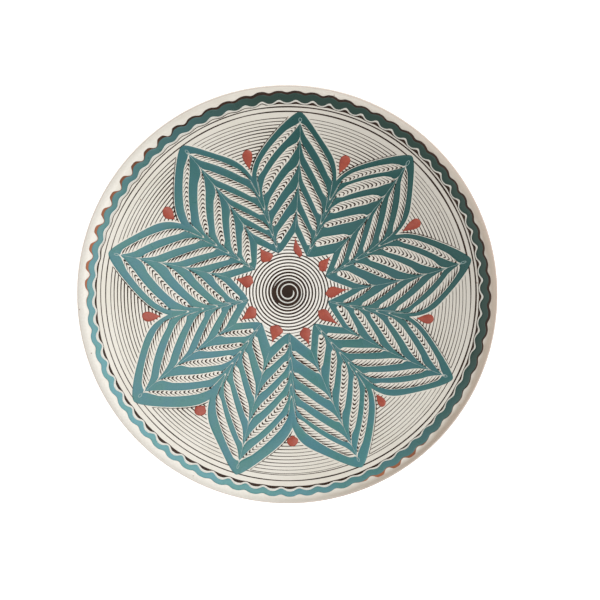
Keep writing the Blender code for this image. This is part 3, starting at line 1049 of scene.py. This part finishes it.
def cream_with_painted_light():
    """The cream coat: warm and cool patches, specks, throwing rings and a tan, worn lip. Painted light pales
    the middle and the lip toward bearing 250 degrees; painted shade darkens the side toward bearing 58
    degrees and deepens the lip's tan toward bearing 103 degrees.
    """
    make = Shading("cream_coat_and_painted_light")
    from_axis, from_lip = make.from_axis(), make.from_lip_middle()
    patches = make.steps(make.noise(22.0, 4.0), (0.35, 0.0), (0.65, 1.0))
    colour = make.mix(patches, (0.74, 0.71, 0.645), (0.70, 0.67, 0.595))
    # Painted light: the flat middle of the dish is painted paler, for the brighter light that falls there.
    centre = make.steps(from_axis, (26.0 * MM, 1.0), (44.0 * MM, 0.0))
    colour = make.mix(centre, colour, (0.85, 0.83, 0.78))
    # Painted shade: the cream is darker toward bearing 58 degrees, where the dish's wall faces away from the
    # lamp.
    painted_shade_side = make.steps(make.toward(58.0), (45.0 * MM, 0.0), (115.0 * MM, 1.0))
    colour = make.mix(painted_shade_side, colour, (0.60, 0.57, 0.515))
    # Painted light: the lip is painted paler toward bearing 250 degrees, where it faces the lamp.
    painted_light_side = make.steps(make.toward(250.0), (10.0 * MM, 0.0), (90.0 * MM, 0.85))
    on_lip = make.steps(from_lip, (132.0 * MM, 0.0), (136.0 * MM, 1.0))
    colour = make.mix(make.maths("MULTIPLY", painted_light_side, on_lip), colour, (0.90, 0.875, 0.815))
    fine = make.steps(make.noise(1.4, 5.0), (0.35, 0.0), (0.8, 0.35))
    colour = make.mix(fine, colour, (0.66, 0.60, 0.50))
    specks = make.maths("MULTIPLY", make.spots(11.0, 0.035), 0.75)
    colour = make.mix(specks, colour, (0.25, 0.15, 0.09))
    # The lip is tan from wear of the coat, a little all round; toward bearing 103 degrees the tan is much
    # stronger, and there it is painted shade on the lip that faces away from the lamp.
    ragged = make.steps(make.noise(9.0), (0.0, -1.4 * MM), (1.0, 1.4 * MM))
    worn = make.steps(make.maths("ADD", from_lip, ragged), (133.8 * MM, 0.0), (137.4 * MM, 0.95))
    wear_and_painted_shade_side = make.steps(make.toward(103.0), (0.0, 0.12), (118.0 * MM, 1.0))
    colour = make.mix(make.maths("MULTIPLY", worn, wear_and_painted_shade_side), colour, (0.33, 0.265, 0.205))
    off_ring = make.maths("ABSOLUTE", make.maths("SUBTRACT", from_lip, 140.0 * MM))
    worn_ring = make.steps(off_ring, (0.15 * MM, 0.55), (0.5 * MM, 0.0))
    colour = make.mix(worn_ring, colour, (0.36, 0.25, 0.21))
    rings = make.maths("SINE", make.maths("MULTIPLY", from_axis, 900.0))
    height = make.maths("ADD", make.noise(6.0, 2.0), make.maths("MULTIPLY", rings, 0.15))
    roughness = make.steps(make.noise(18.0), (0.3, 0.26), (0.7, 0.4))
    return make.finish(colour, roughness, make.bump(height, 0.12), 0.4)


def clay_finish():
    """Bare fired clay: rust and sand patches, grit, and turning marks."""
    make = Shading("fired_clay_finish")
    patches = make.steps(make.noise(26.0, 4.0), (0.35, 0.0), (0.65, 1.0))
    colour = make.mix(patches, (0.34, 0.135, 0.072), (0.25, 0.098, 0.054))
    grain = make.steps(make.noise(0.7, 6.0), (0.35, 0.0), (0.75, 0.5))
    colour = make.mix(grain, colour, (0.44, 0.225, 0.13))
    grit = make.maths("MULTIPLY", make.spots(5.0, 0.06), 0.6)
    colour = make.mix(grit, colour, (0.20, 0.09, 0.06))
    wander = make.maths("ADD", make.from_axis(), make.steps(make.noise(30.0), (0.0, 0.0), (1.0, 0.6 * MM)))
    rings = make.maths("SINE", make.maths("MULTIPLY", wander, 4200.0))
    height = make.maths("ADD", make.noise(1.0, 6.0), make.maths("MULTIPLY", rings, 0.25))
    roughness = make.steps(make.noise(8.0), (0.3, 0.62), (0.7, 0.85))
    return make.finish(colour, roughness, make.bump(height, 0.1))


# ---- The stage ----------------------------------------------------------------------

# The camera stands this far east and north of its aim, for each unit above it
CAMERA_LEAN = (0.0227, 0.1035)
CAMERA_DISTANCE = 2000.0
CAMERA_AIM = (8.6, -4.0, 41.0)
FIELD_OF_VIEW = 11.45


def camera():
    data = bpy.data.cameras.new("camera")
    data.sensor_width = 36.0
    data.lens = data.sensor_width / 2 / math.tan(math.radians(FIELD_OF_VIEW / 2))
    data.clip_end = 100.0
    made = put("camera", data)
    aim = Vector(CAMERA_AIM) * MM
    back = Vector((*CAMERA_LEAN, 1.0)).normalized()
    right = Vector((0.0, 1.0, 0.0)).cross(back).normalized()
    made.location = aim + back * CAMERA_DISTANCE * MM
    made.rotation_mode = "QUATERNION"
    turn = np.column_stack((right, back.cross(right), back))
    made.rotation_quaternion = Matrix(turn.tolist()).to_quaternion()
    bpy.context.scene.camera = made


def area_light(name, bearing, height_angle, distance, size, power):
    """A round lamp that faces the plate; angles in degrees, lengths in metres."""
    data = bpy.data.lights.new(name, "AREA")
    data.shape = "DISK"
    data.size = size
    data.energy = power
    made = put(name, data)
    side, up = math.cos(math.radians(height_angle)), math.sin(math.radians(height_angle))
    angle = math.radians(bearing)
    toward = Vector((math.sin(angle) * side, math.cos(angle) * side, up))
    made.location = toward * distance
    made.rotation_mode = "QUATERNION"
    made.rotation_quaternion = toward.to_track_quat("Z", "Y")


def floor():
    """A pale floor that glows a little, so that the plate's shadow stays faint."""
    mesh = bpy.data.meshes.new("floor")
    reach = 30.0
    mesh.from_pydata([(-reach, -reach, 0.0), (reach, -reach, 0.0), (reach, reach, 0.0), (-reach, reach, 0.0)],
                     [], [(0, 1, 2, 3)])
    made = put("floor", mesh)
    make = Shading("floor_finish")
    tone = make.mix(make.noise(300.0), (0.86, 0.86, 0.86), (0.88, 0.88, 0.87))
    make.finish(tone, 0.9, make.bump(make.noise(2.0), 0.01))
    make.shader.inputs["Emission Color"].default_value = (1.0, 1.0, 1.0, 1.0)
    make.shader.inputs["Emission Strength"].default_value = 0.85
    mesh.materials.append(make.material)
    made.location.z = CAD_LOW.z - 0.0002


def world():
    """Soft, even room light; the camera sees plain white."""
    made = bpy.data.worlds.new("world")
    bpy.context.scene.world = made
    made.use_nodes = True
    tree = made.node_tree
    tree.nodes.clear()
    output = tree.nodes.new("ShaderNodeOutputWorld")
    path = tree.nodes.new("ShaderNodeLightPath")
    blend = tree.nodes.new("ShaderNodeMixShader")
    tree.links.new(path.outputs["Is Camera Ray"], blend.inputs[0])
    tree.links.new(blend.outputs[0], output.inputs["Surface"])
    room, seen = ((1.0, 0.985, 0.96, 1.0), 0.63), ((1.0, 1.0, 1.0, 1.0), 1.0)
    for socket, (colour, strength) in zip(blend.inputs[1:], (room, seen)):
        glow = tree.nodes.new("ShaderNodeBackground")
        glow.inputs["Color"].default_value = colour
        glow.inputs["Strength"].default_value = strength
        tree.links.new(glow.outputs[0], socket)


# ---- Everything together ------------------------------------------------------------

def build():
    cream = cream_with_painted_light()
    clay = clay_finish()
    # Painted shade: the teal turns much darker toward bearing 42 degrees, on the side whose wall faces away
    # from the lamp.
    teal = glazed_slip(
        "teal_slip_and_painted_shade", (0.064, 0.222, 0.202), (0.064, 0.210, 0.248), 14.0,
        painted_shade_or_rust=(0.008, 0.072, 0.068), bearing=42.0, turns=(-45.0, 90.0), coat=0.2,
    )
    # Painted shade: the border's teal turns almost black-green toward bearing 50 degrees, where the wall
    # faces away from the lamp.
    border_teal = glazed_slip(
        "border_teal_and_painted_shade", (0.105, 0.330, 0.320), (0.115, 0.330, 0.380), 14.0,
        painted_shade_or_rust=(0.010, 0.042, 0.032), bearing=50.0, turns=(-130.0, 70.0), coat=0.3,
    )
    brown = glazed_slip("brown_slip_finish", (0.018, 0.008, 0.004), (0.038, 0.018, 0.009), 9.0, coat=0.0)
    red = glazed_slip("red_slip_finish", (0.42, 0.082, 0.046), (0.34, 0.056, 0.034), 5.0, coat=0.2)
    # The edge line's own rust colour takes over toward bearing 222 degrees.
    edge = glazed_slip(
        "edge_line_finish", (0.026, 0.014, 0.010), (0.045, 0.022, 0.014), 9.0,
        painted_shade_or_rust=(0.36, 0.125, 0.058), bearing=222.0, turns=(-30.0, 60.0), coat=0.0,
    )
    drag = glazed_slip("dragged_slip_finish", (0.36, 0.46, 0.44), (0.24, 0.36, 0.36), 8.0)
    trail = glazed_slip("cream_trail_finish", (0.74, 0.72, 0.66), (0.66, 0.66, 0.62), 6.0)

    clay_body(clay)
    cream_coat(cream)
    for band in range(LENSES + 1):
        star_band(band, teal)
    for number in range(PETALS):
        petal_stripes(number, brown)
        spine_line(number, drag)
        valley_streaks(number, drag, brown)
        field_lines(number, brown)
        outer_drop(number, red)
        inner_drop(number, red)
    heart_lines(brown)
    centre_pool(brown)
    centre_curl(trail)
    centre_spiral(brown)
    border(brown, border_teal, trail, edge)
    echo_line(brown)
    ring_line(1, RING_LINE_1, 0.95, 0.0, brown)
    ring_line(2, RING_LINE_2, 1.05, 0.5, brown)


build()
camera()
floor()
world()
area_light("key", bearing=68.0, height_angle=48.0, distance=1.7, size=2.8, power=26.0)
area_light("fill", bearing=250.0, height_angle=60.0, distance=2.0, size=1.5, power=3.0)
bpy.context.scene.view_settings.view_transform = "Standard"
